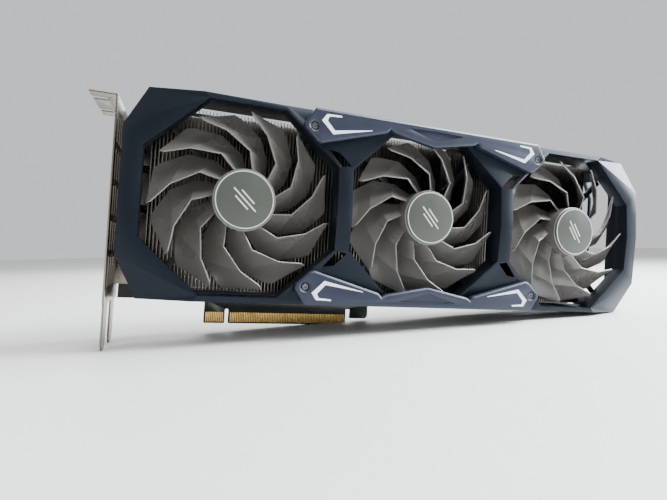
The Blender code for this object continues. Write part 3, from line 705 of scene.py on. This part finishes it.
def rotor(name, centre, turn, settings):
    """Hub cup and its blades about one fan's axis."""
    obj = blade(settings.tip - 0.15 * MM, settings.thickness)
    edit_all(obj)
    step = 2 * math.pi / settings.blades
    bpy.ops.mesh.spin(
        steps=settings.blades - 1,
        dupli=True,
        angle=step * (settings.blades - 1),
        center=(0, 0, 0),
        axis=(0, 1, 0),
    )
    leave_edit()
    hub = disc("hub", (0, 0), HUB_RADIUS, -HUB_DEPTH[1], -HUB_DEPTH[0], 64)
    edit_faces(hub, lambda centre, normal: normal.y > 0.9)
    bpy.ops.mesh.inset(thickness=HUB_WALL, depth=0)
    bpy.ops.mesh.extrude_region_move(TRANSFORM_OT_translate={"value": (0, -HUB_HOLLOW, 0)})
    leave_edit()
    bevel(hub, 0.7 * MM, 3, 60)
    obj = joined(name, [obj, hub])
    obj.data.transform(Matrix.Rotation(-math.radians(turn), 4, "Y"))
    obj.data.transform(Matrix.Translation((centre.x, 0, centre.z)))
    obj.data.update()
    return smooth(obj, 14)


def ring(name, centre, radius, half_width, front, back):
    outer = disc(name, centre, radius + half_width, front, back, 96)
    inner = disc("hole", centre, radius - half_width, front - MM, back + MM, 96)
    return cut(outer, inner)


class CARD_OT_fans(bpy.types.Operator):
    """Three rotors with swept blades, and a hub cap with a thin ring on each"""

    bl_idname = "card.fans"
    bl_label = "Fans"

    def execute(self, context):
        settings = context.scene.card_fans
        plastic, film, line = blade_plastic(settings), cap_film(settings), cap_line()
        for fan, centre, turn in zip(FANS, HUBS, FAN_TURNS):
            body = f"{fan}_fan"
            obj = rotor(f"{fan}_rotor_finished", centre, turn, settings)
            finish_piece(obj, plastic, "fan_plastic", body, f"{fan}_fan_rotor")
            low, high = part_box(f"{fan}_fan_cap")
            radius = (high[0] - low[0]) / 2
            face = low[1] + 0.06 * MM
            cap = disc(f"{fan}_cap_finished", (centre.x, centre.z), radius, face, high[1], 96)
            smooth(bevel(cap, 0.3 * MM, 3, 40))
            finish_piece(cap, film, "cap_film", body, f"{fan}_fan_cap")
            place = (centre.x, centre.z)
            rings = [ring(f"{fan}_cap_ring", place, *CAP_RING, low[1], face + 0.1 * MM)]
            rings += generic_mark(place, turn, low[1], face + 0.1 * MM)
            mark = joined(f"{fan}_cap_mark", rings)
            finish_piece(mark, line, "cap_film", body)
        return {"FINISHED"}


def generic_mark(centre, turn, front, back):
    """A plain mark of three short bars on the cap, turned with the rotor."""
    bars = []
    for index, length in enumerate(MARK_BARS):
        up = (index - 1) * MARK_PITCH
        under, over = (up - MARK_HALF_WIDTH) * MM, (up + MARK_HALF_WIDTH) * MM
        bar = box("bar", (-length * MM, front, under), (length * MM, back, over))
        bar.data.transform(Matrix.Rotation(math.radians(turn), 4, "Y"))
        bar.data.transform(Matrix.Translation((centre[0], 0, centre[1])))
        bars.append(bar)
    return bars


class CARD_OT_motors(bpy.types.Operator):
    """Motor bases with their arms, bearings, shafts and wound stators"""

    bl_idname = "card.motors"
    bl_label = "Fan motors"

    def execute(self, context):
        plastic, copper = black_plastic(), plated_copper()
        wire, steel = motor_winding(), dark_steel()
        for fan in FANS:
            body = f"{fan}_fan"
            bevelled_node(f"{fan}_motor_base", plastic, "black_plastic", "card", 0.3 * MM)
            bevelled_node(f"{body}_bearing", copper, "plated_copper", "card", 0.15 * MM, 2, 40)
            bevelled_node(f"{body}_stator", wire, "plated_copper", "card", 0.8 * MM, 3, 40)
            bevelled_node(f"{body}_shaft", steel, "screw_steel", body, 0.15 * MM, 2, 40)
        return {"FINISHED"}


# ---------------------------------------------------------------- cooler


def fins(name, node, settings):
    """A row of thin fins along the card, on the plate that joins them."""
    low, high = (Vector(corner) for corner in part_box(node))
    count = round((high.x - low.x - settings.sheet) / settings.pitch)
    pitch = (high.x - low.x - settings.sheet) / count
    fin = box("fin", low, (low.x + settings.sheet, high.y - 0.6 * MM, high.z))
    edit_faces(fin, lambda centre, normal: normal.y < -0.9)
    bpy.ops.mesh.inset(thickness=0.05 * MM, depth=0)
    leave_edit()
    repeated(fin, count + 1, pitch)
    plate = box("plate", (low.x, high.y - 1.1 * MM, low.z), high)
    bevel(plate, 0.2 * MM)
    return joined(name, [fin, plate])


class CARD_OT_cooler(bpy.types.Operator):
    """Fin stacks, heat pipes and cold plate"""

    bl_idname = "card.cooler"
    bl_label = "Cooler"

    def execute(self, context):
        settings = context.scene.card_cooler
        aluminium, copper = fin_aluminium(), plated_copper()
        for node in ("main_fin_stack", "end_fin_stack"):
            stack = fins(f"{node}_finished", node, settings)
            finish_piece(stack, aluminium, "fin_aluminium", "card", node)
        bevelled_node("cold_plate", copper, "plated_copper", "card", 0.3 * MM)
        for number in PIPES:
            pipe(f"heat_pipe_{number}", copper)
        return {"FINISHED"}


def pipe(node, material):
    """A heat pipe with rounded ends."""
    low, high = (Vector(corner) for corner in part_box(node))
    radius = (high.z - low.z) / 2
    middle = (low + high) / 2
    start_piece()
    bpy.ops.mesh.primitive_cylinder_add(
        vertices=32,
        radius=radius,
        depth=high.x - low.x,
        location=middle,
        rotation=(0, math.pi / 2, 0),
    )
    obj = place_in_mesh(added(f"{node}_finished"))
    bevel(obj, radius * 0.55, 4, 60)
    return finish_piece(smooth(obj, 50), material, "plated_copper", "card", node)


# ---------------------------------------------------------------- board


def pads(node, settings):
    """A row of separate contacts along one side of a tongue."""
    low, high = (Vector(corner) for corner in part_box(node))
    count = int((high.x - low.x - settings.pad_width) / settings.pad_pitch)
    start = (low.x + high.x - settings.pad_width - count * settings.pad_pitch) / 2
    stop = start + settings.pad_width
    obj = box(f"{node}_finished", (start, low.y, low.z), (stop, high.y, high.z))
    bevel(obj, 0.05 * MM, 1)
    return repeated(obj, count + 1, settings.pad_pitch)


class CARD_OT_board(bpy.types.Operator):
    """Circuit board with its contacts, chips and chokes"""

    bl_idname = "card.board"
    bl_label = "Board"

    def execute(self, context):
        settings = context.scene.card_board
        mask, gold = solder_mask(), contact_gold()
        plastic, silicon = black_plastic(), chip_silicon()
        bevelled_node("circuit_board", mask, "solder_mask", "card", 0.12 * MM, 1, 60)
        for side in ("front", "back"):
            for length in ("short", "long"):
                node = f"{side}_{length}_contacts"
                finish_piece(pads(node, settings), gold, "contact_gold", "card", node)
        bevelled_node("gpu_package", mask, "solder_mask", "card", 0.15 * MM)
        bevelled_node("gpu_die", silicon, "silicon", "card", 0.05 * MM)
        bevelled_node("choke_bank", plastic, "black_plastic", "card", 0.4 * MM)
        for number in MEMORY_CHIPS:
            bevelled_node(f"memory_chip_{number}", plastic, "black_plastic", "card", 0.12 * MM)
        return {"FINISHED"}


class CARD_OT_sockets(bpy.types.Operator):
    """Power sockets on the top edge and display ports on the bracket"""

    bl_idname = "card.sockets"
    bl_label = "Sockets and ports"

    def execute(self, context):
        plastic, nickel = black_plastic(), nickel_plate()
        for number in (1, 2):
            bevelled_node(f"power_socket_{number}", plastic, "black_plastic", "card", 0.15 * MM)
        for name in PORTS:
            bevelled_node(name, nickel, "nickel_plate", "card", 0.12 * MM)
        return {"FINISHED"}


class CARD_OT_bracket(bpy.types.Operator):
    """Slotted metal bracket with its screw tab and feet"""

    bl_idname = "card.bracket"
    bl_label = "Bracket"

    def execute(self, context):
        bevelled_node("bracket", nickel_plate(), "nickel_plate", "card", 0.16 * MM, 2, 40)
        return {"FINISHED"}


class CARD_OT_backplate(bpy.types.Operator):
    """Painted backplate with air slots"""

    bl_idname = "card.backplate"
    bl_label = "Backplate"

    def execute(self, context):
        bevelled_node("backplate", plate_paint(), "backplate_paint", "card", 0.3 * MM, 2, 40)
        return {"FINISHED"}


# ---------------------------------------------------------------- stage


# Each light: its name, place, what it points at, size, share of the stage's power, and colour.
LIGHTS = (
    ("key", (0.25, -0.35, 0.85), (0.06, -0.04, 0.06), (0.6, 0.4), 0.5, (1, 0.98, 0.95)),
    ("side", (-0.75, -0.35, 0.35), (0, -0.03, 0.06), (0.5, 0.6), 0.12, (0.9, 0.95, 1)),
    ("back", (0.15, 0.7, 0.55), (0.05, 0, 0.06), (0.9, 0.4), 0.55, (1, 1, 1)),
    ("window", (0.66, -0.14, 0.62), (0.06, -0.04, 0.07), (0.5, 0.8), 2.6, (0.86, 0.94, 1)),
)


def area_light(name, place, aim, size, power, colour):
    data = bpy.data.lights.new(name, "AREA")
    data.shape = "RECTANGLE"
    data.size, data.size_y = size
    data.energy = power
    data.color = colour
    light = bpy.data.objects.new(name, data)
    bpy.context.scene.collection.objects.link(light)
    light.location = place
    light.rotation_euler = (Vector(aim) - Vector(place)).to_track_quat("-Z", "Y").to_euler()
    return light


class CARD_OT_stage(bpy.types.Operator):
    """Pale floor under the card, soft lights and the camera"""

    bl_idname = "card.stage"
    bl_label = "Stage"

    def execute(self, context):
        settings = context.scene.card_stage
        self.floor(settings)
        self.lights(settings)
        self.camera(context)
        return {"FINISHED"}

    def floor(self, settings):
        """The floor passes under the bracket's feet and the shroud's far lower edge."""
        outer_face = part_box("circuit_board")[0][0] - BOARD_FROM_BRACKET
        foot = Vector((outer_face, 0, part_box("bracket")[0][2]))
        heel = Vector((CENTRE_X + HEEL_FROM_CENTRE, 0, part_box("shroud")[0][2]))
        slope = math.atan2(heel.z - foot.z, heel.x - foot.x)
        start_piece()
        place = foot - Vector((0, 0, 0.2 * MM))
        bpy.ops.mesh.primitive_plane_add(size=6, location=place, rotation=(0, -slope, 0))
        floor = added("floor")
        finish = Finish("floor paper", settings.floor_colour, 0.55)
        finish.vary_roughness(0.50, 0.62, 3)
        floor.data.materials.append(finish.material)

    def lights(self, settings):
        world = bpy.data.worlds.new("studio")
        bpy.context.scene.world = world
        world.use_nodes = True
        background = world.node_tree.nodes["Background"]
        background.inputs["Color"].default_value = (0.95, 0.97, 1.0, 1)
        background.inputs["Strength"].default_value = 0.80
        lights = [
            area_light(name, place, aim, size, settings.light * share, colour)
            for name, place, aim, size, share, colour in LIGHTS
        ]

    def camera(self, context):
        data = bpy.data.cameras.new("camera")
        data.lens = 24.309
        data.sensor_width = 36
        data.clip_start = 0.01
        camera = bpy.data.objects.new("camera", data)
        context.scene.collection.objects.link(camera)
        right = Vector((0.948779, -0.310015, 0.060905))
        up = Vector((-0.063663, 0.001224, 0.997971))
        back = right.cross(up)
        turn = Matrix((right, up, back)).transposed().to_4x4()
        camera.matrix_world = Matrix.Translation((-0.060852, -0.265737, 0.040918)) @ turn
        context.scene.camera = camera


# ---------------------------------------------------------------- panel and registration


OPERATORS = (
    CARD_OT_shroud,
    CARD_OT_trims,
    CARD_OT_screws,
    CARD_OT_fans,
    CARD_OT_motors,
    CARD_OT_cooler,
    CARD_OT_board,
    CARD_OT_sockets,
    CARD_OT_bracket,
    CARD_OT_backplate,
    CARD_OT_stage,
)
SETTINGS = {
    "card_shroud": CARD_PG_shroud,
    "card_fans": CARD_PG_fans,
    "card_cooler": CARD_PG_cooler,
    "card_board": CARD_PG_board,
    "card_stage": CARD_PG_stage,
}


class CARD_PT_panel(bpy.types.Panel):
    """Lists the card's pieces and their sizes"""

    bl_idname = "CARD_PT_panel"
    bl_label = "Graphics Card"
    bl_space_type = "VIEW_3D"
    bl_region_type = "UI"
    bl_category = "Graphics Card"

    def draw(self, context):
        for operator in OPERATORS:
            self.layout.operator(operator.bl_idname)
        for name, group in SETTINGS.items():
            column = self.layout.column()
            for key in group.__annotations__:
                column.prop(getattr(context.scene, name), key)


CLASSES = (*SETTINGS.values(), *OPERATORS, CARD_PT_panel)


def register():
    for cls in CLASSES:
        bpy.utils.register_class(cls)
    for name, group in SETTINGS.items():
        setattr(bpy.types.Scene, name, bpy.props.PointerProperty(type=group))


def unregister():
    for name in SETTINGS:
        delattr(bpy.types.Scene, name)
    for cls in reversed(CLASSES):
        bpy.utils.unregister_class(cls)


def main():
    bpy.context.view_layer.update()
    register()
    for operator in OPERATORS:
        group, name = operator.bl_idname.split(".")
        getattr(getattr(bpy.ops, group), name)()


if __name__ == "__main__":
    main()
